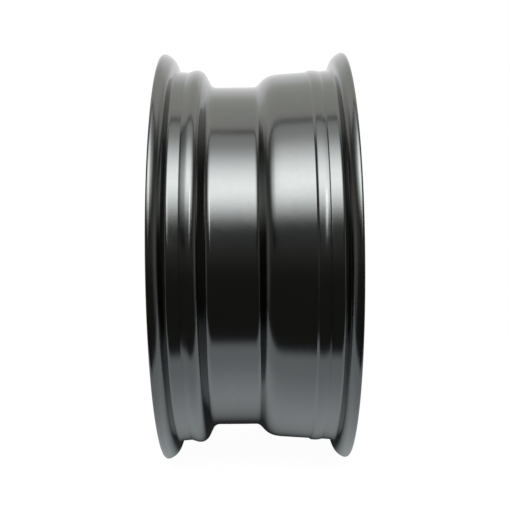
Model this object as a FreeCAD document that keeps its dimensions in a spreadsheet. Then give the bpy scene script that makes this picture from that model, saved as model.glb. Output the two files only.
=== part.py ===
import FreeCAD, Part
import math
import os

import Sketcher

# Steel wheel for a passenger car: a rolled drop-centre rim, a pressed disc and the beads that weld them.
# The wheel spins about Y, its origin is the rim's middle, and the disc's outer face looks along -Y.

# Driving dimensions, in millimetres and degrees
SIZES = {
    # Rim: standard fit of the tyre
    "rim_width": 152.4,
    "bead_seat_diameter": 380.2,
    "bead_seat_taper": 5,
    "flange_height": 17.3,
    "rim_thickness": 2.6,
    # Rim: flange and its rolled lip
    "flange_lean": 5,
    "lip_radius": 8,
    "lip_droop": 35,
    "lip_land": 0.3,
    # Rim: outboard seat, hump and well wall, measured inwards from the outboard flange
    "outboard_heel_radius": 4.5,
    "outboard_seat_width": 11.7,
    "outboard_foot_radius": 3,
    "outboard_hump_width": 13.5,
    "outboard_hump_rise": 3.4,
    "outboard_hump_radius": 9.5,
    "outboard_wall_run": 8.5,
    # Rim: well and the slope to the inboard ledge
    "well_depth": 16.2,
    "well_width": 44.8,
    "well_outboard_radius": 6.4,
    "well_inboard_radius": 8,
    "inboard_wall_run": 12,
    "shoulder_drop": 4.4,
    "shoulder_radius": 18,
    # Rim: inboard ledge, hump and seat, measured outwards from the inboard flange
    "ledge_end_inset": 26.2,
    "ledge_end_drop": 1.8,
    "ledge_end_radius": 12,
    "inboard_hump_inset": 18.1,
    "inboard_hump_rise": 1.9,
    "inboard_hump_radius": 6,
    "inboard_seat_width": 10.6,
    "inboard_foot_radius": 3,
    "inboard_heel_radius": 4,
    # Rim: valve hole in the outboard wall of the well
    "valve_hole_diameter": 11.3,
    "valve_hole_drop": 12.1,
    "valve_hole_angle": 108,
    # Disc: sheet, hub face and pressed section, with a skirt that sits in the rim's well
    "disc_thickness": 3.6,
    "wheel_offset": 45,
    "centre_bore_diameter": 67.1,
    "hub_face_diameter": 160,
    "hub_bend_radius": 10,
    "crown_height": 30,
    "crown_diameter": 208,
    "crown_radius": 14,
    "disc_shoulder_radius": 14,
    "skirt_length": 23,
    "skirt_inset": 10.3,
    # Disc: stud holes with cone seats
    "stud_count": 5,
    "stud_circle_diameter": 114.3,
    "stud_hole_diameter": 14.5,
    "stud_land_height": 1.2,
    "seat_cone_angle": 60,
    "boss_height": 3.4,
    "boss_base_diameter": 34,
    "boss_top_diameter": 26,
    "recess_depth": 2,
    "recess_mouth_diameter": 28,
    "recess_floor_diameter": 21,
    # Disc: vent windows
    "vent_count": 10,
    "vent_circle_diameter": 276,
    "vent_width": 24,
    "vent_sweep": 8,
    # Welds between the skirt's end and the well
    "weld_count": 5,
    "weld_sweep": 30,
    "weld_well_leg": 4,
    "weld_skirt_leg": 3.2,
    "weld_crown_radius": 5,
    # Rim and disc: turn of a bend that one flat stands for
    "flat_turn": 32,
}

doc = FreeCAD.newDocument("steel_wheel")
sheet = doc.addObject("Spreadsheet::Sheet", "sizes")
for row, (alias, number) in enumerate(SIZES.items(), start=1):
    sheet.set(f"A{row}", alias)
    sheet.set(f"B{row}", str(number))
    sheet.setAlias(f"B{row}", alias)
doc.recompute()

# Lengths worked out from the driving dimensions, as expressions of the sheet's cells
SEAT = "sizes.bead_seat_diameter / 2"
FLANGE = f"({SEAT} + sizes.flange_height)"
WELL = f"({SEAT} - sizes.well_depth)"
WELL_INSIDE = f"({WELL} - sizes.rim_thickness)"
SKIRT_INSIDE = f"({WELL_INSIDE} - sizes.disc_thickness)"
OUTBOARD_FACE = "(-sizes.rim_width / 2)"
INBOARD_FACE = "(sizes.rim_width / 2)"
HUB_FACE = "(-sizes.wheel_offset)"


def number_of(expression):
    """Value of an expression of the sheet, as a plain number."""
    return float(sheet.evalExpression(expression))


def new_body(label):
    """Body of one piece of the wheel, placed at the wheel's own origin."""
    body = doc.addObject("PartDesign::Body", label)
    body.Label = label
    body.Placement = FreeCAD.Placement()
    return body


def origin_feature(body, role):
    """Plane or axis of a body's own origin."""
    for feature in body.Origin.OriginFeatures:
        if feature.Role == role:
            return feature
    raise ValueError(role)


def new_sketch(body, name, plane):
    """Empty sketch on one of the body's origin planes."""
    sketch = body.newObject("Sketcher::SketchObject", name)
    sketch.AttachmentSupport = [(origin_feature(body, plane), "")]
    sketch.MapMode = "FlatFace"
    return sketch


class Drawing:
    """Lines, arcs and dimensions of one sketch, gathered first and then put in the sketch together."""

    def __init__(self):
        self.shapes = []
        self.helpers = []
        self.constraints = []
        self.sizes = {}

    def add(self, shape, helper=False):
        """Number of a new line, arc or point. A helper only carries dimensions."""
        self.shapes.append(shape)
        self.helpers.append(helper)
        return len(self.shapes) - 1

    def tie(self, kind, *places):
        """Relation between shapes of the drawing."""
        self.constraints.append(Sketcher.Constraint(kind, *places))

    def size(self, kind, places, expression):
        """Dimension whose value is an expression of the sheet."""
        self.sizes[len(self.constraints)] = expression
        self.constraints.append(Sketcher.Constraint(kind, *places, number_of(expression)))

    def pin(self, shape, vertex, across, up):
        """Distances of a point from the sketch's origin."""
        self.size("DistanceX", (-1, 1, shape, vertex), across)
        self.size("DistanceY", (-1, 1, shape, vertex), up)

    def put_in(self, sketch):
        """Fill a sketch with the drawing and bind its dimensions to the sheet."""
        sketch.addGeometry(self.shapes)
        for number, helper in enumerate(self.helpers):
            if helper:
                sketch.setConstruction(number, True)
        sketch.addConstraint(self.constraints)
        for number, expression in self.sizes.items():
            sketch.setExpression(f"Constraints[{number}]", expression)


def bend(before, corner, after, radius):
    """Centre of a fillet, its end points and its turn in radians, above zero for a bend to the left."""
    towards = (corner - before).normalize()
    onwards = (after - corner).normalize()
    turn = math.atan2(towards.cross(onwards).z, towards.dot(onwards))
    sense = math.copysign(1, turn)
    setback = radius * math.tan(abs(turn) / 2)
    start = corner - towards * setback
    end = corner + onwards * setback
    centre = start + FreeCAD.Vector(-towards.y, towards.x, 0) * sense * radius
    return centre, start, end, turn


def fillet_arc(centre, start, end, sense):
    """Arc about a centre, drawn anticlockwise as a sketch stores it."""
    radius = (start - centre).Length
    angles = [math.atan2(point.y - centre.y, point.x - centre.x) for point in (start, end)]
    if sense < 0:
        angles.reverse()
    circle = Part.Circle(centre, FreeCAD.Vector(0, 0, 1), radius)
    return Part.ArcOfCircle(circle, *angles)


def flats_on_arc(drawing, arc, centre, start, turn, before, after):
    """Equal flats from the end of one line to the start of the next, with their corners on a bend's arc."""
    count = max(1, round(abs(math.degrees(turn)) / SIZES["flat_turn"]))
    corners = []
    for k in range(count + 1):
        rotation = FreeCAD.Rotation(FreeCAD.Vector(0, 0, 1), math.degrees(turn) * k / count)
        corners.append(centre + rotation.multVec(start - centre))
    flats = [drawing.add(Part.LineSegment(*ends)) for ends in zip(corners, corners[1:])]
    drawing.tie("Coincident", before, 2, flats[0], 1)
    drawing.tie("Coincident", flats[-1], 2, after, 1)
    for flat, following in zip(flats, flats[1:]):
        drawing.tie("Coincident", flat, 2, following, 1)
        drawing.tie("PointOnObject", flat, 2, arc)
        drawing.tie("Equal", flat, following)


def sheet_section(sketch, corners, bends, thickness, side):
    """Closed section of a bent sheet: one face through the corners, the other a thickness away.

    side is 1 where the thickness lies left of the face's direction and -1 where it lies right of it.
    Each bend is set out as an arc and made as flats on it, which keeps the spun solid light.
    """
    drawing = Drawing()
    points = [FreeCAD.Vector(number_of(axial), number_of(radial), 0) for axial, radial in corners]
    depth = number_of(thickness)
    last = len(points) - 1
    arcs = [bend(*points[k - 1:k + 2], number_of(bends[k - 1])) for k in range(1, last)]
    across = []
    for k in range(last):
        along = (points[k + 1] - points[k]).normalize()
        across.append(FreeCAD.Vector(-along.y, along.x, 0) * side * depth)

    # The two faces run corner to corner as lines between bends, and share the bends' centres
    starts = [points[0]] + [end for centre, start, end, turn in arcs]
    ends = [start for centre, start, end, turn in arcs] + [points[last]]
    lines = []
    rounds = []
    for face in (0, 1):
        shift = [vector * face for vector in across]
        faces = [Part.LineSegment(starts[k] + shift[k], ends[k] + shift[k]) for k in range(last)]
        lines.append([drawing.add(line) for line in faces])
        rounds.append([])
        for k, (centre, start, end, turn) in enumerate(arcs):
            before, after = lines[face][k:k + 2]
            arc = drawing.add(fillet_arc(centre, start + shift[k], end + shift[k + 1], turn), helper=True)
            rounds[face].append(arc)
            first, second = (1, 2) if turn > 0 else (2, 1)
            drawing.tie("Tangent", before, 2, arc, first)
            drawing.tie("Tangent", arc, second, after, 1)
            inside = "-" if side * turn > 0 else "+"
            drawing.size("Radius", (arc,), f"{bends[k]} {inside} {thickness} * {face}")
            flats_on_arc(drawing, arc, centre, start + shift[k], turn, before, after)
    for near, far in zip(*rounds):
        drawing.tie("Coincident", near, 3, far, 3)

    # The corners of the first face carry the dimensions
    for k in range(1, last):
        corner = drawing.add(Part.Point(points[k]), helper=True)
        drawing.tie("PointOnObject", corner, 1, lines[0][k - 1])
        drawing.tie("PointOnObject", corner, 1, lines[0][k])
        drawing.pin(corner, 1, *corners[k])
    drawing.pin(lines[0][0], 1, *corners[0])
    drawing.pin(lines[0][-1], 2, *corners[last])

    # The ends of the sheet are cut square
    for k, vertex, tip in ((0, 1, points[0]), (last - 1, 2, points[last])):
        near, far = lines[0][k], lines[1][k]
        cap = drawing.add(Part.LineSegment(tip, tip + across[k]))
        drawing.tie("Parallel", near, far)
        drawing.tie("Coincident", near, vertex, cap, 1)
        drawing.tie("Coincident", far, vertex, cap, 2)
        drawing.tie("Perpendicular", near, cap)
    drawing.put_in(sketch)


def outline_beside_axis(sketch, axis_rise, corners):
    """Closed outline of straight lines through the corners, to be spun about a line along the axle's way."""
    drawing = Drawing()
    points = [FreeCAD.Vector(number_of(axial), number_of(radial), 0) for axial, radial in corners]
    rise = FreeCAD.Vector(0, number_of(axis_rise), 0)
    axis = drawing.add(Part.LineSegment(rise, rise + FreeCAD.Vector(points[0].x, 0, 0)), helper=True)
    drawing.pin(axis, 1, "0", axis_rise)
    drawing.pin(axis, 2, corners[0][0], axis_rise)
    edges = [drawing.add(Part.LineSegment(points[k - 1], points[k])) for k in range(len(points))]
    for k, edge in enumerate(edges):
        drawing.tie("Coincident", edges[k - 1], 2, edge, 1)
        drawing.pin(edge, 2, *corners[k])
    drawing.put_in(sketch)


def spin(body, kind, name, sketch, axis):
    """Revolution or groove of a sketch about an axis, once round."""
    feature = body.newObject(f"PartDesign::{kind}", name)
    feature.Profile = sketch
    feature.ReferenceAxis = axis
    feature.Angle = 360
    return feature


def pattern_round_axle(body, name, originals, count):
    """Copies of features all round the wheel's axle."""
    pattern = body.newObject("PartDesign::PolarPattern", name)
    pattern.Originals = originals
    pattern.Axis = (origin_feature(body, "Y_Axis"), [""])
    pattern.Angle = 360
    pattern.setExpression("Occurrences", count)
    body.Tip = pattern


def lip_corners(face, outwards):
    """Edge of a rolled flange lip, and the corner where the lip's slope meets the leaning flange face."""
    lean = "sizes.flange_lean"
    droop = "sizes.lip_droop"
    middle_rise = f"({FLANGE} - sizes.lip_radius)"
    middle_out = f"((sizes.lip_radius + ({middle_rise} - {SEAT}) * sin({lean})) / cos({lean}))"
    edge_out = f"({middle_out} + sizes.lip_radius * sin({droop}) + sizes.lip_land * cos({droop}))"
    edge_rise = f"({middle_rise} + sizes.lip_radius * cos({droop}) - sizes.lip_land * sin({droop}))"
    reach = f"(sizes.lip_radius / (1 + sin({lean} - {droop})))"
    corner_out = f"({middle_out} + {reach} * (sin({droop}) - cos({lean})))"
    corner_rise = f"({middle_rise} + {reach} * (cos({droop}) + sin({lean})))"
    edge = (f"{face} {outwards} {edge_out}", edge_rise)
    corner = (f"{face} {outwards} {corner_out}", corner_rise)
    return edge, corner


# Rim: one rolled strip, its section drawn along the tyre side from the outboard lip to the inboard lip
outboard_foot = f"({OUTBOARD_FACE} + sizes.outboard_seat_width)"
outboard_foot_rise = f"({SEAT} - sizes.outboard_seat_width * tan(sizes.bead_seat_taper))"
wall_top = f"({outboard_foot} + sizes.outboard_hump_width)"
wall_top_rise = f"({outboard_foot_rise} + sizes.outboard_hump_rise)"
well_start = f"({wall_top} + sizes.outboard_wall_run)"
well_end = f"({well_start} + sizes.well_width)"
inboard_foot = f"({INBOARD_FACE} - sizes.inboard_seat_width)"
inboard_foot_rise = f"({SEAT} - sizes.inboard_seat_width * tan(sizes.bead_seat_taper))"

rim = new_body("rim")
outboard_edge, outboard_lip = lip_corners(OUTBOARD_FACE, "-")
inboard_edge, inboard_lip = lip_corners(INBOARD_FACE, "+")
rim_sketch = new_sketch(rim, "rim_section", "YZ_Plane")
sheet_section(
    rim_sketch,
    corners=[
        outboard_edge,
        outboard_lip,
        (OUTBOARD_FACE, SEAT),
        (outboard_foot, outboard_foot_rise),
        (wall_top, wall_top_rise),
        (well_start, WELL),
        (well_end, WELL),
        (f"{well_end} + sizes.inboard_wall_run", f"{SEAT} - sizes.shoulder_drop"),
        (f"{INBOARD_FACE} - sizes.ledge_end_inset", f"{SEAT} - sizes.ledge_end_drop"),
        (f"{INBOARD_FACE} - sizes.inboard_hump_inset", f"{inboard_foot_rise} + sizes.inboard_hump_rise"),
        (inboard_foot, inboard_foot_rise),
        (INBOARD_FACE, SEAT),
        inboard_lip,
        inboard_edge,
    ],
    bends=[
        "sizes.lip_radius",
        "sizes.outboard_heel_radius",
        "sizes.outboard_foot_radius",
        "sizes.outboard_hump_radius",
        "sizes.well_outboard_radius",
        "sizes.well_inboard_radius",
        "sizes.shoulder_radius",
        "sizes.ledge_end_radius",
        "sizes.inboard_hump_radius",
        "sizes.inboard_foot_radius",
        "sizes.inboard_heel_radius",
        "sizes.lip_radius",
    ],
    thickness="sizes.rim_thickness",
    side=-1,
)
spin(rim, "Revolution", "rim_hoop", rim_sketch, (rim_sketch, ["H_Axis"]))

# Valve hole: square to the well's outboard wall, drawn on a half-section turned from the top towards -X
valve_sketch = new_sketch(rim, "valve_hole_section", "YZ_Plane")
valve_turn = FreeCAD.Rotation(FreeCAD.Vector(-1, 0, 0), SIZES["valve_hole_angle"])
valve_sketch.AttachmentOffset = FreeCAD.Placement(FreeCAD.Vector(), valve_turn)
valve_sketch.setExpression("AttachmentOffset.Rotation.Angle", "sizes.valve_hole_angle")

drawing = Drawing()
wall_start = FreeCAD.Vector(number_of(wall_top), number_of(wall_top_rise), 0)
wall_end = FreeCAD.Vector(number_of(well_start), number_of(WELL), 0)
down_wall = (wall_end - wall_start).normalize()
off_wall = FreeCAD.Vector(-down_wall.y, down_wall.x, 0)
valve_reach = "(sizes.rim_thickness * 2)"
reach = off_wall * number_of(valve_reach)
middle = wall_start + down_wall * SIZES["valve_hole_drop"]
radius = down_wall * SIZES["valve_hole_diameter"] / 2
axis = drawing.add(Part.LineSegment(middle - reach, middle + reach), helper=True)
wall = drawing.add(Part.LineSegment(wall_start, wall_end), helper=True)
mark = drawing.add(Part.Point(middle), helper=True)
core = drawing.add(Part.LineSegment(middle - reach, middle + reach))
mouth = drawing.add(Part.LineSegment(middle + reach, middle + reach + radius))
side = drawing.add(Part.LineSegment(middle + reach + radius, middle - reach + radius))
back = drawing.add(Part.LineSegment(middle - reach + radius, middle - reach))
drawing.pin(wall, 1, wall_top, wall_top_rise)
drawing.pin(wall, 2, well_start, WELL)
drawing.tie("PointOnObject", mark, 1, wall)
drawing.size("Distance", (wall, 1, mark, 1), "sizes.valve_hole_drop")
drawing.tie("Symmetric", axis, 1, axis, 2, mark, 1)
drawing.tie("Perpendicular", axis, wall)
drawing.size("Distance", (axis, 1, axis, 2), f"{valve_reach} * 2")
drawing.tie("Coincident", core, 1, axis, 1)
drawing.tie("Coincident", core, 2, axis, 2)
drawing.tie("Coincident", core, 2, mouth, 1)
drawing.tie("Coincident", mouth, 2, side, 1)
drawing.tie("Coincident", side, 2, back, 1)
drawing.tie("Coincident", back, 2, core, 1)
drawing.tie("Parallel", side, axis)
drawing.tie("Parallel", mouth, wall)
drawing.tie("Parallel", back, wall)
drawing.size("Distance", (mouth, 1, mouth, 2), "sizes.valve_hole_diameter / 2")
drawing.put_in(valve_sketch)
spin(rim, "Groove", "valve_hole", valve_sketch, (valve_sketch, ["Axis0"]))

# Disc: one pressing, its section drawn along the inboard face from the centre bore to the skirt's end
skirt_end = f"({well_end} - sizes.skirt_inset)"
disc = new_body("disc")
disc_sketch = new_sketch(disc, "disc_section", "YZ_Plane")
sheet_section(
    disc_sketch,
    corners=[
        (HUB_FACE, "sizes.centre_bore_diameter / 2"),
        (HUB_FACE, "sizes.hub_face_diameter / 2"),
        (f"{HUB_FACE} - sizes.crown_height", "sizes.crown_diameter / 2"),
        (f"{skirt_end} - sizes.skirt_length", SKIRT_INSIDE),
        (skirt_end, SKIRT_INSIDE),
    ],
    bends=[
        "sizes.hub_bend_radius",
        "sizes.crown_radius",
        "sizes.disc_shoulder_radius",
    ],
    thickness="sizes.disc_thickness",
    side=1,
)
spin(disc, "Revolution", "disc_pressing", disc_sketch, (disc_sketch, ["H_Axis"]))

# Stud holes: a boss pressed outwards, a cone seat for the nut in it and a recess behind it
STUD = "sizes.stud_circle_diameter / 2"
boss_foot = f"({HUB_FACE} - sizes.disc_thickness)"
boss_top = f"({boss_foot} - sizes.boss_height)"
recess_floor = f"({HUB_FACE} - sizes.recess_depth)"
land_end = f"({recess_floor} - sizes.stud_land_height)"
hole_side = f"{STUD} + sizes.stud_hole_diameter / 2"
seat_mouth = f"{hole_side} + ({land_end} - {boss_top}) * tan(sizes.seat_cone_angle / 2)"

boss_sketch = new_sketch(disc, "stud_boss_section", "YZ_Plane")
outline_beside_axis(boss_sketch, STUD, [
    (boss_foot, STUD),
    (boss_foot, f"{STUD} + sizes.boss_base_diameter / 2"),
    (boss_top, f"{STUD} + sizes.boss_top_diameter / 2"),
    (boss_top, STUD),
])
stud_boss = spin(disc, "Revolution", "stud_boss", boss_sketch, (boss_sketch, ["Axis0"]))

seat_sketch = new_sketch(disc, "stud_seat_section", "YZ_Plane")
outline_beside_axis(seat_sketch, STUD, [
    (HUB_FACE, STUD),
    (HUB_FACE, f"{STUD} + sizes.recess_mouth_diameter / 2"),
    (recess_floor, f"{STUD} + sizes.recess_floor_diameter / 2"),
    (recess_floor, hole_side),
    (land_end, hole_side),
    (boss_top, seat_mouth),
    (boss_top, STUD),
])
stud_seat = spin(disc, "Groove", "stud_seat", seat_sketch, (seat_sketch, ["Axis0"]))
pattern_round_axle(disc, "stud_circle", [stud_boss, stud_seat], "sizes.stud_count")

# Vent windows: curved slots pierced through the web along the axle
vent_sketch = new_sketch(disc, "vent_outline", "XZ_Plane")
drawing = Drawing()
half_sweep = math.radians(SIZES["vent_sweep"] / 2)
half_width = SIZES["vent_width"] / 2
circle_radius = SIZES["vent_circle_diameter"] / 2
upright = FreeCAD.Vector(0, 0, 1)
spans = (math.pi / 2 - half_sweep, math.pi / 2 + half_sweep)
arcs = []
for radius in (circle_radius - half_width, circle_radius + half_width):
    arcs.append(drawing.add(Part.ArcOfCircle(Part.Circle(FreeCAD.Vector(), upright, radius), *spans)))
for arc, sign in zip(arcs, "-+"):
    drawing.tie("Coincident", arc, 3, -1, 1)
    drawing.size("Radius", (arc,), f"(sizes.vent_circle_diameter {sign} sizes.vent_width) / 2")
for vertex, angle, sign in ((1, spans[0], ""), (2, spans[1], "-")):
    centre = FreeCAD.Vector(math.cos(angle), math.sin(angle), 0) * circle_radius
    turn = angle if vertex == 2 else angle - math.pi
    cap = drawing.add(Part.ArcOfCircle(Part.Circle(centre, upright, half_width), turn, turn + math.pi))
    outer_vertex, inner_vertex = (1, 2) if vertex == 2 else (2, 1)
    drawing.tie("Tangent", arcs[1], vertex, cap, outer_vertex)
    drawing.tie("Tangent", arcs[0], vertex, cap, inner_vertex)
    across = f"{sign}sizes.vent_circle_diameter / 2 * sin(sizes.vent_sweep / 2)"
    drawing.size("DistanceX", (-1, 1, cap, 3), across)
drawing.put_in(vent_sketch)

vent_window = disc.newObject("PartDesign::Pocket", "vent_window")
vent_window.Profile = vent_sketch
vent_window.Type = "ThroughAll"
vent_window.Midplane = True
pattern_round_axle(disc, "vent_circle", [vent_window], "sizes.vent_count")

# Welds: fillet beads in the corner between the skirt's end and the inside of the well
disc_welds = new_body("disc_welds")
disc_welds.AllowCompound = True
weld_sketch = new_sketch(disc_welds, "weld_section", "YZ_Plane")
drawing = Drawing()
root = FreeCAD.Vector(number_of(skirt_end), number_of(WELL_INSIDE), 0)
well_toe = root + FreeCAD.Vector(SIZES["weld_well_leg"], 0, 0)
skirt_toe = root - FreeCAD.Vector(0, SIZES["weld_skirt_leg"], 0)
chord = well_toe - skirt_toe
inwards = FreeCAD.Vector(-chord.y, chord.x, 0).normalize()
drop = math.sqrt(SIZES["weld_crown_radius"] ** 2 - (chord.Length / 2) ** 2)
centre = (well_toe + skirt_toe) / 2 + inwards * drop
on_well = drawing.add(Part.LineSegment(root, well_toe))
on_skirt = drawing.add(Part.LineSegment(skirt_toe, root))
crown = drawing.add(fillet_arc(centre, skirt_toe, well_toe, 1))
drawing.pin(on_well, 1, skirt_end, WELL_INSIDE)
drawing.pin(on_well, 2, f"{skirt_end} + sizes.weld_well_leg", WELL_INSIDE)
drawing.pin(on_skirt, 1, skirt_end, f"{WELL_INSIDE} - sizes.weld_skirt_leg")
drawing.tie("Coincident", on_skirt, 2, on_well, 1)
drawing.tie("Coincident", crown, 1, on_skirt, 1)
drawing.tie("Coincident", crown, 2, on_well, 2)
drawing.size("Radius", (crown,), "sizes.weld_crown_radius")
drawing.put_in(weld_sketch)

weld_bead = spin(disc_welds, "Revolution", "weld_bead", weld_sketch, (weld_sketch, ["H_Axis"]))
weld_bead.Midplane = True
weld_bead.setExpression("Angle", "sizes.weld_sweep")
pattern_round_axle(disc_welds, "weld_circle", [weld_bead], "sizes.weld_count")

# Check every object, then write one file for each piece
doc.recompute()
for item in doc.Objects:
    if "Invalid" in item.State or "Error" in item.State:
        raise RuntimeError(f"{item.Label} failed: {item.getStatusString()}")
for cut in (stud_seat, vent_window, rim.Tip):
    if cut.Shape.Volume >= cut.BaseFeature.Shape.Volume:
        raise RuntimeError(f"{cut.Label} cuts nothing")
pieces = (rim, disc, disc_welds)
for piece in pieces:
    if piece.Shape.isNull() or not piece.Shape.isValid():
        raise RuntimeError(f"{piece.Label} has no valid shape")

os.makedirs("parts", exist_ok=True)
for piece in pieces:
    piece.Shape.exportStep(f"parts/{piece.Label}.step")
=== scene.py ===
import math

import bmesh
import bpy
from mathutils import Matrix, Vector


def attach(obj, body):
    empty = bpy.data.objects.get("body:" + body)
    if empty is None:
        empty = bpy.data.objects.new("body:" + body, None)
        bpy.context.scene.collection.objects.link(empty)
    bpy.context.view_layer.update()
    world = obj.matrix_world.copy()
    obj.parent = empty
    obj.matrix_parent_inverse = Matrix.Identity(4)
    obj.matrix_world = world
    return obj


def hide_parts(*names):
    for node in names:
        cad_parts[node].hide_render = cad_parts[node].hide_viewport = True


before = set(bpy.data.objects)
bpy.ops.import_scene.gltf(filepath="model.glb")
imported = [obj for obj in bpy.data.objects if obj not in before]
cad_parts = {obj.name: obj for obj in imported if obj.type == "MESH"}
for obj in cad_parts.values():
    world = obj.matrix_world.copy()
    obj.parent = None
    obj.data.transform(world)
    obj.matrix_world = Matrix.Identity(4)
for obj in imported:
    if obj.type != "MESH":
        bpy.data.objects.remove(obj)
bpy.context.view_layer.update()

# Rim: one strip of 2.6 mm steel, butt welded to a hoop and rolled to a drop-centre section.
# The flanges and bead seats hold the tyre, and the well lets its bead drop in while it is fitted.
# A hole for the valve is pierced through the outboard wall of the well, on the side away from the camera.
RIM_THICKNESS = 0.0026
RIM_STEPS = 256
TURN_OF_ONE_FACET = math.radians(7.5)
MERGE_DISTANCE = 0.000001
# Corners of the tyre side from lip to lip: along the axle, radius, bend radius
OUTBOARD_LIP = [(-0.0898, 0.2065, 0), (-0.0882, 0.20784, 0.003), (-0.07934, 0.2036, 0.014)]
OUTBOARD_SEAT = [(-0.0757, 0.1902, 0.0035), (-0.0720, 0.18962, 0.012), (-0.0646, 0.18897, 0.0012)]
OUTBOARD_HUMP = [(-0.0630, 0.18965, 0.002), (-0.0515, 0.1932, 0.0095)]
WELL = [(-0.0420, 0.1739, 0.0075), (0.0027, 0.1739, 0.0070)]
INBOARD_LEDGE = [(0.0120, 0.18387, 0.020), (0.0215, 0.18624, 0.040), (0.0524, 0.1884, 0.0010)]
INBOARD_HUMP = [(0.0546, 0.1898, 0.003), (0.0594, 0.19022, 0.018), (0.0638, 0.18963, 0.002)]
INBOARD_SEAT = [(0.0650, 0.1891, 0.0012), (0.0762, 0.1901, 0.004)]
INBOARD_LIP = [(0.07934, 0.2036, 0.014), (0.0882, 0.20784, 0.003), (0.0898, 0.2065, 0)]


def section_point(along_axle, radius):
    """Point of a section that is drawn above the axle, which runs along Y."""
    return Vector((0, along_axle, radius))


def draw_run(mesh, tip, end):
    """Straight run of a section, from its last vertex to a point."""
    made = bmesh.ops.extrude_vert_indiv(mesh, verts=[tip])
    made["verts"][0].co = end
    return made["verts"][0]


def draw_arc(mesh, tip, centre, axis, sweep, steps):
    """Arc of a section, from its last vertex round a centre."""
    arc = bmesh.ops.spin(mesh, geom=[tip], cent=centre, axis=axis, angle=sweep, steps=steps)
    return next(item for item in arc["geom_last"] if isinstance(item, bmesh.types.BMVert))


def draw_bent_strip(mesh, corners):
    """Section of a bent strip: straight runs, and an arc of the given radius at each corner."""
    points = [section_point(along, radius) for along, radius, bend in corners]
    bends = [bend for along, radius, bend in corners]
    tip = mesh.verts.new(points[0])
    for before, corner, after, bend in zip(points, points[1:], points[2:], bends[1:]):
        towards = (corner - before).normalized()
        onwards = (after - corner).normalized()
        turn = towards.angle(onwards)
        pivot = towards.cross(onwards).normalized()
        tip = draw_run(mesh, tip, corner - towards * bend * math.tan(turn / 2))
        centre = tip.co + pivot.cross(towards) * bend
        tip = draw_arc(mesh, tip, centre, pivot, turn, math.ceil(turn / TURN_OF_ONE_FACET))
    draw_run(mesh, tip, points[-1])


def spin_round_axle(mesh, steps):
    """Hoop from a section: one full turn about the axle, closed to itself."""
    section = mesh.verts[:] + mesh.edges[:]
    bmesh.ops.spin(
        mesh, geom=section, cent=(0, 0, 0), axis=(0, 1, 0), angle=math.tau, steps=steps, use_merge=True
    )
    bmesh.ops.remove_doubles(mesh, verts=mesh.verts, dist=MERGE_DISTANCE)
    bmesh.ops.recalc_face_normals(mesh, faces=mesh.faces)


def new_piece(name, mesh):
    """Object of the scene from a finished bmesh."""
    data = bpy.data.meshes.new(name)
    mesh.to_mesh(data)
    mesh.free()
    piece = bpy.data.objects.new(name, data)
    bpy.context.collection.objects.link(piece)
    return piece


rim_mesh = bmesh.new()
outboard_run = OUTBOARD_LIP + OUTBOARD_SEAT + OUTBOARD_HUMP
inboard_run = INBOARD_LEDGE + INBOARD_HUMP + INBOARD_SEAT + INBOARD_LIP
draw_bent_strip(rim_mesh, outboard_run + WELL + inboard_run)
spin_round_axle(rim_mesh, RIM_STEPS)
rim = new_piece("rim_hoop", rim_mesh)

# Drill for the valve hole, square to the wall of the well
VALVE_HOLE_RADIUS = 0.00565
VALVE_HOLE_DROP = 0.0121
VALVE_TURN = math.radians(108)
VALVE_DRILL_LENGTH = 0.013
VALVE_DRILL_STEPS = 48
wall_top = section_point(*OUTBOARD_HUMP[1][:2])
wall_foot = section_point(*WELL[0][:2])
down_wall = (wall_foot - wall_top).normalized()
off_wall = Vector((1, 0, 0)).cross(down_wall)
drill_line = off_wall.to_track_quat("Z", "Y").to_matrix().to_4x4()
drill_place = Matrix.Translation(wall_top + down_wall * VALVE_HOLE_DROP)
valve_drill = bmesh.new()
bmesh.ops.create_cone(
    valve_drill,
    cap_ends=True,
    segments=VALVE_DRILL_STEPS,
    radius1=VALVE_HOLE_RADIUS,
    radius2=VALVE_HOLE_RADIUS,
    depth=VALVE_DRILL_LENGTH,
    matrix=Matrix.Rotation(-VALVE_TURN, 4, "Y") @ drill_place @ drill_line,
)

# Thickness, holes and cut edges, as on any pressed sheet
EDGE_ROUND = 0.0008
EDGE_SEGMENTS = 3
CUT_EDGE_ABOVE = math.radians(50)
SMOOTH_BELOW = math.radians(35)
AGAINST_NORMALS = -1
ALONG_NORMALS = 1


def finish_sheet(piece, thickness, side, cutters):
    """Gives a drawn face its thickness, pierces it, rounds the cut edges and fixes that in its mesh."""
    wall = piece.modifiers.new("sheet", "SOLIDIFY")
    wall.thickness = thickness
    wall.offset = side
    wall.use_even_offset = True
    for cutter in cutters:
        pierce = piece.modifiers.new("pierce", "BOOLEAN")
        pierce.operation = "DIFFERENCE"
        pierce.solver = "EXACT"
        pierce.object = cutter
    edges = piece.modifiers.new("edges", "BEVEL")
    edges.limit_method = "ANGLE"
    edges.angle_limit = CUT_EDGE_ABOVE
    edges.width = EDGE_ROUND
    edges.segments = EDGE_SEGMENTS
    solid = piece.evaluated_get(bpy.context.evaluated_depsgraph_get())
    piece.data = bpy.data.meshes.new_from_object(solid)
    piece.modifiers.clear()
    for cutter in cutters:
        bpy.data.objects.remove(cutter)
    piece.data.shade_smooth()
    piece.data.set_sharp_from_angle(angle=SMOOTH_BELOW)


finish_sheet(rim, RIM_THICKNESS, AGAINST_NORMALS, [new_piece("valve_drill", valve_drill)])

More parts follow.
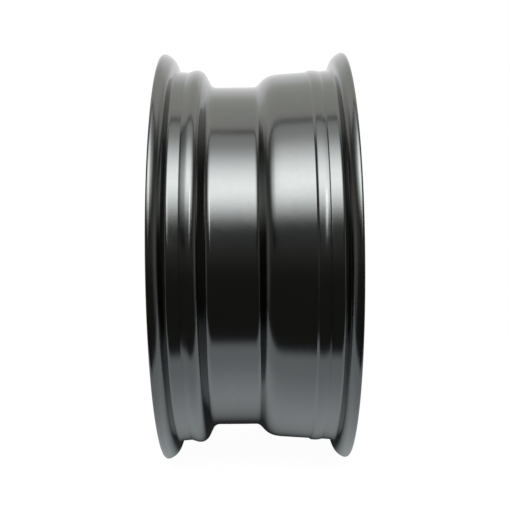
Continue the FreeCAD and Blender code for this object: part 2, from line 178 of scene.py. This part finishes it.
# Black electro-coat that goes over the whole wheel
CLEAN_TONE = (0.176, 0.176, 0.180, 1)
DUSTY_TONE = (0.194, 0.193, 0.192, 1)
# Painted shade: the darker tone that the rim's steep walls get
STEEP_PAINTED_SHADE_TONE = (0.095, 0.095, 0.096, 1)
SPECK_TONE = (0.42, 0.41, 0.40, 1)
SPECK_COVER = 0.03
DUST_DULLS = 0.04
SPECK_DULLS = 0.03
FLOW_HEIGHT_SHARE = 0.10
RIM_PEEL_HEIGHT = 0.000022
RIM_DULLNESS = 0.17
# Patterns of the coat: features in a metre, levels of detail
CLOUDS = (14.0, 3.0)
FLOW = (160.0, 3.0)
PEEL = (620.0, 2.0)
SPECKS = (1500.0, 0.0)
# Where the patterns show, as levels of the noise, and the steep faces that get painted shade, as the
# normal's share of Y
DUST_IN_CLOUDS = (0.35, 0.75)
DUST_IN_FLOW = (0.30, 0.80)
SPECK_PEAKS = (0.72, 0.80)
STEEP_FACES_WITH_PAINTED_SHADE = (0.55, 0.90)


class Shade:
    """One socket of a material's nodes. Sums on it are written as plain Python and add Math nodes."""

    def __init__(self, tree, socket=None):
        self.tree = tree
        self.socket = socket

    def node(self, kind, settings=(), inputs=(), output=0):
        """New node of any kind, with its settings first and then the values or links of its sockets."""
        made = self.tree.nodes.new("ShaderNode" + kind)
        for name, value in dict(settings).items():
            setattr(made, name, value)
        for name, value in dict(inputs).items():
            if isinstance(value, Shade):
                self.tree.links.new(value.socket, made.inputs[name])
            else:
                made.inputs[name].default_value = value
        return Shade(self.tree, made.outputs[output] if made.outputs else None)

    def maths(self, operation, first, second):
        """Math node on two numbers or sockets."""
        return self.node("Math", {"operation": operation}, {0: first, 1: second})

    def __add__(self, other):
        return self.maths("ADD", self, other)

    def __radd__(self, other):
        return self.maths("ADD", other, self)

    def __sub__(self, other):
        return self.maths("SUBTRACT", self, other)

    def __rsub__(self, other):
        return self.maths("SUBTRACT", other, self)

    def __mul__(self, other):
        return self.maths("MULTIPLY", self, other)

    def __rmul__(self, other):
        return self.maths("MULTIPLY", other, self)

    def __abs__(self):
        return self.maths("ABSOLUTE", self, 0)

    def part(self, axis):
        """One coordinate of a place or a direction."""
        return self.node("SeparateXYZ", {}, {"Vector": self}, output=axis)

    def between(self, low, high):
        """Smooth rise from 0 at low to 1 at high."""
        limits = {"Value": self, "From Min": low, "From Max": high}
        return self.node("MapRange", {"interpolation_type": "SMOOTHSTEP"}, limits)

    def noise(self, place, scale, detail):
        """Noise about 0.5 with the given number of features in a metre."""
        return self.node("TexNoise", {}, {"Vector": place, "Scale": scale, "Detail": detail})

    def blend(self, mask, first, second):
        """Colour between two others, which are sockets 6 and 7 of a Mix node."""
        return self.node("Mix", {"data_type": "RGBA"}, {"Factor": mask, 6: first, 7: second}, output=2)


def new_finish(name):
    """Material without nodes, and the start of its nodes."""
    finish = bpy.data.materials.new(name)
    finish.use_nodes = True
    finish.node_tree.nodes.clear()
    return finish, Shade(finish.node_tree)


def black_coat(name, peel_height, dullness, painted_shade_when_steep=False):
    """Black coat, smooth like dark graphite, with orange peel, a thin veil of dust and a few specks.

    On request it has painted shade: a darker tone on faces that stand nearly square to the axle, in place of
    the dimmer reflections of the rim's narrow walls.
    """
    finish, nodes = new_finish(name)
    place = nodes.node("TexCoord", output="Object")
    clouds = nodes.noise(place, *CLOUDS)
    flow = nodes.noise(place, *FLOW)
    peel = nodes.noise(place, *PEEL)
    specks = nodes.noise(place, *SPECKS).between(*SPECK_PEAKS)
    veil = clouds.between(*DUST_IN_CLOUDS) * flow.between(*DUST_IN_FLOW)
    tone = nodes.blend(veil, CLEAN_TONE, DUSTY_TONE)
    # Painted shade: faces nearly square to the axle take the darker tone
    if painted_shade_when_steep:
        facing = nodes.node("TexCoord", output="Normal")
        painted_shade_mask = abs(facing.part("Y")).between(*STEEP_FACES_WITH_PAINTED_SHADE)
        tone = nodes.blend(painted_shade_mask, tone, STEEP_PAINTED_SHADE_TONE)
    height = peel + FLOW_HEIGHT_SHARE * flow
    coat = nodes.node("BsdfPrincipled", {}, {
        "Base Color": nodes.blend(specks * SPECK_COVER, tone, SPECK_TONE),
        "Metallic": 1.0,
        "Roughness": dullness + DUST_DULLS * veil + SPECK_DULLS * specks,
        "Normal": nodes.node("Bump", {}, {"Height": height, "Distance": peel_height, "Strength": 1.0}),
    })
    nodes.node("OutputMaterial", {}, {"Surface": coat})
    return finish


# The rim's coat has painted shade on its steep walls
rim.data.materials.append(black_coat("black_coat_on_rim", RIM_PEEL_HEIGHT, RIM_DULLNESS, True))
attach(rim, "root")
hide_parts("rim")

# Disc: one pressing of 3.6 mm steel that carries the hub face, the stud bosses and a raised crown.
# Ten vent windows are pierced through its web, and each stud hole has a cone seat for its nut.
# Its skirt is pressed into the well of the rim from the inside.
DISC_THICKNESS = 0.0036
DISC_STEPS = 320
DISC_PEEL_HEIGHT = 0.00004
DISC_DULLNESS = 0.21
# Corners of the inboard face from the centre bore to the skirt's end: along the axle, radius, bend radius
DISC_CORNERS = [
    (-0.0450, 0.03355, 0),
    (-0.0450, 0.0800, 0.010),
    (-0.0750, 0.1040, 0.014),
    (-0.0310, 0.1677, 0.014),
    (-0.0080, 0.1677, 0),
]
LONGEST_FACET = 0.0022
STUD_COUNT = 5
STUD_CIRCLE = 0.05715
BOSS_FOOT = 0.017
BOSS_TOP = 0.0125
BOSS_HEIGHT = 0.0030
disc_mesh = bmesh.new()
draw_bent_strip(disc_mesh, DISC_CORNERS)
for edge in disc_mesh.edges[:]:
    cuts = int(edge.calc_length() / LONGEST_FACET)
    if cuts:
        bmesh.ops.subdivide_edges(disc_mesh, edges=[edge], cuts=cuts)
spin_round_axle(disc_mesh, DISC_STEPS)
if disc_mesh.faces[0].normal.y > 0:
    bmesh.ops.reverse_faces(disc_mesh, faces=disc_mesh.faces)
stud_turns = [Matrix.Rotation(math.tau * k / STUD_COUNT, 3, "Y") for k in range(STUD_COUNT)]
stud_places = [turn @ Vector((0, 0, STUD_CIRCLE)) for turn in stud_turns]
for vertex in disc_mesh.verts:
    away = min((Vector((vertex.co.x, 0, vertex.co.z)) - place).length for place in stud_places)
    rise = min(max((BOSS_FOOT - away) / (BOSS_FOOT - BOSS_TOP), 0), 1)
    vertex.co.y -= BOSS_HEIGHT * rise * rise * (3 - 2 * rise)
disc = new_piece("disc_pressing", disc_mesh)

# Tools that pierce the disc: a stepped drill at each stud and a curved slot at each vent window
STUD_HOLE_RADIUS = 0.00725
SEAT_SLOPE = math.tan(math.radians(30))
SEAT_START = -0.0488
DRILL_END = -0.030
DRILL_STEPS = 64
TOOL_FRONT = -0.095
VENT_COUNT = 10
VENT_CIRCLE = 0.138
VENT_HALF_WIDTH = 0.012
VENT_SWEEP = math.radians(8)
VENT_END_STEPS = 20
VENT_SIDE_STEPS = 8
VENT_TOOL_LENGTH = 0.075


def copy_round_axle(mesh, count):
    """Repeats all of a mesh at even steps round the axle."""
    shape = mesh.verts[:] + mesh.edges[:] + mesh.faces[:]
    sweep = math.tau * (count - 1) / count
    bmesh.ops.spin(
        mesh, geom=shape, cent=(0, 0, 0), axis=(0, 1, 0), angle=sweep, steps=count - 1, use_duplicate=True
    )
    bmesh.ops.recalc_face_normals(mesh, faces=mesh.faces)


drills = bmesh.new()
seat_mouth = STUD_HOLE_RADIUS + (SEAT_START - TOOL_FRONT) * SEAT_SLOPE
tip = drills.verts.new(section_point(DRILL_END, 0))
tip = draw_run(drills, tip, section_point(DRILL_END, STUD_HOLE_RADIUS))
tip = draw_run(drills, tip, section_point(SEAT_START, STUD_HOLE_RADIUS))
tip = draw_run(drills, tip, section_point(TOOL_FRONT, seat_mouth))
draw_run(drills, tip, section_point(TOOL_FRONT, 0))
spin_round_axle(drills, DRILL_STEPS)
bmesh.ops.translate(drills, verts=drills.verts, vec=(0, 0, STUD_CIRCLE))
copy_round_axle(drills, STUD_COUNT)

vent_punches = bmesh.new()
first_end = Matrix.Rotation(-VENT_SWEEP / 2, 3, "Y") @ Vector((0, 0, VENT_CIRCLE))
last_end = Matrix.Rotation(VENT_SWEEP / 2, 3, "Y") @ Vector((0, 0, VENT_CIRCLE))
tip = vent_punches.verts.new(first_end - first_end.normalized() * VENT_HALF_WIDTH)
for centre, sweep, steps in (
    (first_end, math.pi, VENT_END_STEPS),
    (Vector(), VENT_SWEEP, VENT_SIDE_STEPS),
    (last_end, math.pi, VENT_END_STEPS),
    (Vector(), -VENT_SWEEP, VENT_SIDE_STEPS),
):
    tip = draw_arc(vent_punches, tip, centre, (0, 1, 0), sweep, steps)
bmesh.ops.remove_doubles(vent_punches, verts=vent_punches.verts, dist=MERGE_DISTANCE)
bmesh.ops.contextual_create(vent_punches, geom=vent_punches.edges)
bmesh.ops.translate(vent_punches, verts=vent_punches.verts, vec=(0, TOOL_FRONT, 0))
slot = bmesh.ops.extrude_face_region(vent_punches, geom=vent_punches.faces[:])
slot_end = [item for item in slot["geom"] if isinstance(item, bmesh.types.BMVert)]
bmesh.ops.translate(vent_punches, verts=slot_end, vec=(0, VENT_TOOL_LENGTH, 0))
copy_round_axle(vent_punches, VENT_COUNT)
disc_tools = [new_piece("drills", drills), new_piece("vent_punches", vent_punches)]
finish_sheet(disc, DISC_THICKNESS, ALONG_NORMALS, disc_tools)
disc.data.materials.append(black_coat("black_coat_on_disc", DISC_PEEL_HEIGHT, DISC_DULLNESS))
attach(disc, "root")
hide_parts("disc")

# Welds: five fillet beads laid along the end of the skirt, which join the disc to the rim.
# Each is laid in one pass, so it has ripples across it and thins out at both ends.
# The coat goes over wheel and welds together.
WELD_COUNT = 5
WELD_SWEEP = math.radians(30)
WELD_STEPS = 204
WELD_ROOT = section_point(-0.0080, 0.1713)
WELL_TOE = WELD_ROOT + Vector((0, 0.0040, 0))
SKIRT_TOE = WELD_ROOT - Vector((0, 0, 0.0032))
WELD_CROWN_RADIUS = 0.005
WELD_CROWN_STEPS = 8
WELD_TAPER = math.radians(2.5)
WELD_END_SHARE = 0.35
RIPPLE_COUNT = 34
RIPPLE_SHARE = 0.07
WELD_SMOOTH_BELOW = math.radians(40)
WELD_PEEL_HEIGHT = 0.00005
WELD_DULLNESS = 0.26
chord = WELL_TOE - SKIRT_TOE
crown_sweep = 2 * math.asin(chord.length / 2 / WELD_CROWN_RADIUS)
to_centre = Vector((1, 0, 0)).cross(chord).normalized() * WELD_CROWN_RADIUS * math.cos(crown_sweep / 2)
crown_centre = (WELL_TOE + SKIRT_TOE) / 2 + to_centre
weld_mesh = bmesh.new()
draw_arc(weld_mesh, weld_mesh.verts.new(SKIRT_TOE), crown_centre, (1, 0, 0), crown_sweep, WELD_CROWN_STEPS)
weld_mesh.verts.new(WELD_ROOT)
bead_section = weld_mesh.faces.new(weld_mesh.verts)
to_start = Matrix.Rotation(-WELD_SWEEP / 2, 3, "Y")
bmesh.ops.rotate(weld_mesh, verts=bead_section.verts, cent=(0, 0, 0), matrix=to_start)
bmesh.ops.spin(
    weld_mesh, geom=[bead_section], cent=(0, 0, 0), axis=(0, 1, 0), angle=WELD_SWEEP, steps=WELD_STEPS
)
for vertex in weld_mesh.verts:
    along = math.atan2(vertex.co.x, vertex.co.z)
    to_end = min((WELD_SWEEP / 2 - abs(along)) / WELD_TAPER, 1)
    fullness = WELD_END_SHARE + (1 - WELD_END_SHARE) * math.sqrt(max(1 - (1 - to_end) ** 2, 0))
    ripple = 0.5 - 0.5 * math.cos(math.tau * RIPPLE_COUNT * along / WELD_SWEEP)
    root = Matrix.Rotation(along, 3, "Y") @ WELD_ROOT
    vertex.co = root + (vertex.co - root) * fullness * (1 - RIPPLE_SHARE * ripple)
copy_round_axle(weld_mesh, WELD_COUNT)
welds = new_piece("weld_beads", weld_mesh)
welds.data.shade_smooth()
welds.data.set_sharp_from_angle(angle=WELD_SMOOTH_BELOW)
welds.data.materials.append(black_coat("black_coat_on_welds", WELD_PEEL_HEIGHT, WELD_DULLNESS))
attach(welds, "root")
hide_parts("disc_welds")

# Floor: a white sheet that runs back from just in front of the wheel and out of sight behind it.
# The camera sees it as nearly pure white, with only a breath of the wheel's shadow.
# In the wheel's gloss it is a cool grey with painted shadow: it fades out under the wheel and is painted
# darker towards its front edge.
FLOOR_LEVEL = -0.2076
FLOOR_FRONT = 0.27
FLOOR_HALF_LENGTH = 2.2
FLOOR_HALF_WIDTH = 3.0
SHEET_COLOUR = (0.82, 0.83, 0.85, 1)
WHITE = (1, 1, 1, 1)
BLACK = (0, 0, 0, 1)
WHITE_GLOW = 1.08
WHITE_SHARE = 0.9
MIRRORED_TINT = (0.91, 0.985, 1.0, 1)
PAINTED_SHADOW_LEVEL = 0.03
OPEN_LEVEL = 0.87
FRONT_LOSS = 0.34
# Painted shadow under the wheel and painted darkening towards the front, as places on X
OUT_OF_PAINTED_SHADOW = (-0.02, 0.10)
TOWARDS_FRONT = (0.10, 0.20)
FRONT_EDGE = (0.222, 0.254)
floor_mesh = bmesh.new()
bmesh.ops.create_grid(floor_mesh, x_segments=1, y_segments=1, size=1)
bmesh.ops.scale(floor_mesh, verts=floor_mesh.verts, vec=(FLOOR_HALF_LENGTH, FLOOR_HALF_WIDTH, 1))
floor_middle = (FLOOR_FRONT - FLOOR_HALF_LENGTH, 0, FLOOR_LEVEL)
bmesh.ops.translate(floor_mesh, verts=floor_mesh.verts, vec=floor_middle)
floor = new_piece("floor", floor_mesh)
white_sheet, nodes = new_finish("white_sheet")
seen = nodes.node("LightPath", output="Is Camera Ray")
mirrored = nodes.node("LightPath", output="Is Glossy Ray")
forward = nodes.node("TexCoord", output="Object").part("X")
out_of_painted_shadow = forward.between(*OUT_OF_PAINTED_SHADOW)
painted_front_fade = (1 - FRONT_LOSS * forward.between(*TOWARDS_FRONT)) * (1 - forward.between(*FRONT_EDGE))
# Painted shadow and light for the wheel's gloss: dark under the wheel, brightest just in front of it, darker
# at the front edge
mirror_level = PAINTED_SHADOW_LEVEL + OPEN_LEVEL * out_of_painted_shadow * painted_front_fade
lit = nodes.node("BsdfDiffuse", {}, {"Color": SHEET_COLOUR})
white = nodes.node("Emission", {}, {"Color": WHITE, "Strength": WHITE_GLOW})
mirror_image = nodes.node("Emission", {}, {"Color": nodes.blend(mirror_level, BLACK, MIRRORED_TINT)})
plain = nodes.node("MixShader", {}, {0: seen * WHITE_SHARE, 1: lit, 2: white})
both = nodes.node("MixShader", {}, {0: mirrored, 1: plain, 2: mirror_image})
nodes.node("OutputMaterial", {}, {"Surface": both})
floor.data.materials.append(white_sheet)

# Softbox: one large soft lamp above the camera, brightest across its middle.
# It fades out downwards, upwards and to both sides, and a brighter upright strip stands right of its middle.
# The camera looks through it, so that only its light and its mirror image show.
SOFTBOX_DISTANCE = 1.3
SOFTBOX_LIFT = math.radians(49)
SOFTBOX_HALF_HEIGHT = 1.095
SOFTBOX_HALF_WIDTH = 1.30
SOFTBOX_SHIFT = 0.165
LAMP_TINT = (0.96, 1.0, 0.975, 1)
FULL_GLOW = 8.0
LEAST_GLOW = 0.1
MIDDLE_GLOW = 4.5
TOP_LOSS = 3.65
SIDE_LOSS = 0.97
STRIP_GLOW = 4.0
# Fades over the lamp's face, as heights on Z and places on Y
FROM_BELOW = (0.42, 0.855)
TOWARDS_TOP = (0.84, 1.36)
TOP_EDGE = (1.505, 1.515)
TO_THE_LEFT = (0.20, 1.30)
TO_THE_RIGHT = (0.25, 1.25)
STRIP_LEFT_EDGE = (0.25, 0.33)
STRIP_RIGHT_EDGE = (0.40, 0.48)
STRIP_FOOT = (0.20, 0.58)
STRIP_TOP = (0.68, 0.85)
softbox_mesh = bmesh.new()
bmesh.ops.create_grid(softbox_mesh, x_segments=1, y_segments=1, size=1)
bmesh.ops.scale(softbox_mesh, verts=softbox_mesh.verts, vec=(SOFTBOX_HALF_HEIGHT, SOFTBOX_HALF_WIDTH, 1))
bmesh.ops.translate(softbox_mesh, verts=softbox_mesh.verts, vec=(SOFTBOX_SHIFT, 0, SOFTBOX_DISTANCE))
softbox_tilt = Matrix.Rotation(math.pi / 2 - SOFTBOX_LIFT, 4, "Y")
bmesh.ops.transform(softbox_mesh, verts=softbox_mesh.verts, matrix=softbox_tilt)
softbox = new_piece("softbox", softbox_mesh)
soft_light, nodes = new_finish("soft_light")
place = nodes.node("TexCoord", output="Object")
height = place.part("Z")
sideways = place.part("Y")
left_fade = 1 - SIDE_LOSS * (0 - sideways).between(*TO_THE_LEFT)
right_fade = 1 - SIDE_LOSS * sideways.between(*TO_THE_RIGHT)
middle = MIDDLE_GLOW - TOP_LOSS * height.between(*TOWARDS_TOP)
face_glow = (LEAST_GLOW + height.between(*FROM_BELOW) * middle) * left_fade * right_fade
strip_across = sideways.between(*STRIP_LEFT_EDGE) * (1 - sideways.between(*STRIP_RIGHT_EDGE))
strip_up = height.between(*STRIP_FOOT) * (1 - height.between(*STRIP_TOP))
lamp_level = (face_glow + STRIP_GLOW * strip_across * strip_up) * (1 - height.between(*TOP_EDGE))
lamp_colour = nodes.blend(lamp_level * (1 / FULL_GLOW), BLACK, LAMP_TINT)
seen = nodes.node("LightPath", output="Is Camera Ray")
glow = nodes.node("Emission", {}, {"Color": lamp_colour, "Strength": FULL_GLOW})
clear = nodes.node("BsdfTransparent")
both = nodes.node("MixShader", {}, {0: seen, 1: glow, 2: clear})
nodes.node("OutputMaterial", {}, {"Surface": both})
softbox.data.materials.append(soft_light)

# Room: plain white to the camera, and an even low light on what isn't glossy.
# In the wheel's gloss it has a pale ceiling and back, and a dark opening on the camera's side.
# The opening is a little lighter upwards and to both sides.
PLAIN_LEVEL = 0.3
CEILING_LEVEL = 0.95
BACK_GAIN = 0.17
OPENING_LEVEL = 0.032
UPPER_GAIN = 0.07
SIDE_GAIN = 0.20
CEILING_TINT = (0.975, 1.0, 0.92, 1)
BACK_TINT = (0.985, 1.0, 0.985, 1)
OPENING_TINT = (1.0, 0.98, 0.88, 1)
FULL_LEVEL = 1.2
# Fades over the directions, as shares of X, Z and Y
OPENING_SIDE = (-0.45, -0.10)
BACK_SIDE = (-0.72, -0.60)
OPENING_TOP = (0.62, 0.80)
OPENING_UPPER_PART = (-0.25, 0.20)
OPENING_SIDES = (0.80, 0.97)
room = bpy.data.worlds.new("white_room")
bpy.context.scene.world = room
room.use_nodes = True
room.node_tree.nodes.clear()
nodes = Shade(room.node_tree)
heading = nodes.node("TexCoord", output="Generated")
ahead = heading.part("X")
up = heading.part("Z")
opening = ahead.between(*OPENING_SIDE) * (1 - up.between(*OPENING_TOP))
behind = 1 - ahead.between(*BACK_SIDE)
aside = abs(heading.part("Y")).between(*OPENING_SIDES)
pale = CEILING_LEVEL + BACK_GAIN * behind
dim = OPENING_LEVEL + UPPER_GAIN * up.between(*OPENING_UPPER_PART) + SIDE_GAIN * aside
mirror_level = pale * (1 - opening) + dim * opening
seen = nodes.node("LightPath", output="Is Camera Ray")
passed = nodes.node("LightPath", output="Is Transmission Ray")
mirrored = nodes.node("LightPath", output="Is Glossy Ray")
straight = nodes.maths("MAXIMUM", seen, passed)
level = straight + (1 - straight) * (mirrored * mirror_level + (1 - mirrored) * PLAIN_LEVEL)
surroundings = nodes.blend(opening, nodes.blend(behind, CEILING_TINT, BACK_TINT), OPENING_TINT)
tint = nodes.blend(mirrored, WHITE, surroundings)
room_colour = nodes.blend(level * (1 / FULL_LEVEL), BLACK, tint)
glow = nodes.node("Background", {}, {"Color": room_colour, "Strength": FULL_LEVEL})
nodes.node("OutputWorld", {}, {"Surface": glow})

# Camera: level with the axle and square to it, so that only the tyre side of the rim shows.
# It is close enough that the near side looks larger, and it leans by half a degree.
CAMERA_DISTANCE = 0.910
CAMERA_RISE = 0.0006
CAMERA_ROLL = -0.010
SENSOR_WIDTH = 36
FOCAL_LENGTH = 61.0
view = bpy.data.cameras.new("camera")
view.sensor_width = SENSOR_WIDTH
view.lens = FOCAL_LENGTH
camera = bpy.data.objects.new("camera", view)
facing = Matrix.Rotation(math.pi / 2, 4, "Z") @ Matrix.Rotation(math.pi / 2, 4, "X")
roll = Matrix.Rotation(CAMERA_ROLL, 4, "Z")
camera.matrix_world = Matrix.Translation((CAMERA_DISTANCE, 0, CAMERA_RISE)) @ facing @ roll
bpy.context.collection.objects.link(camera)
bpy.context.scene.camera = camera
bpy.context.scene.view_settings.view_transform = "Standard"
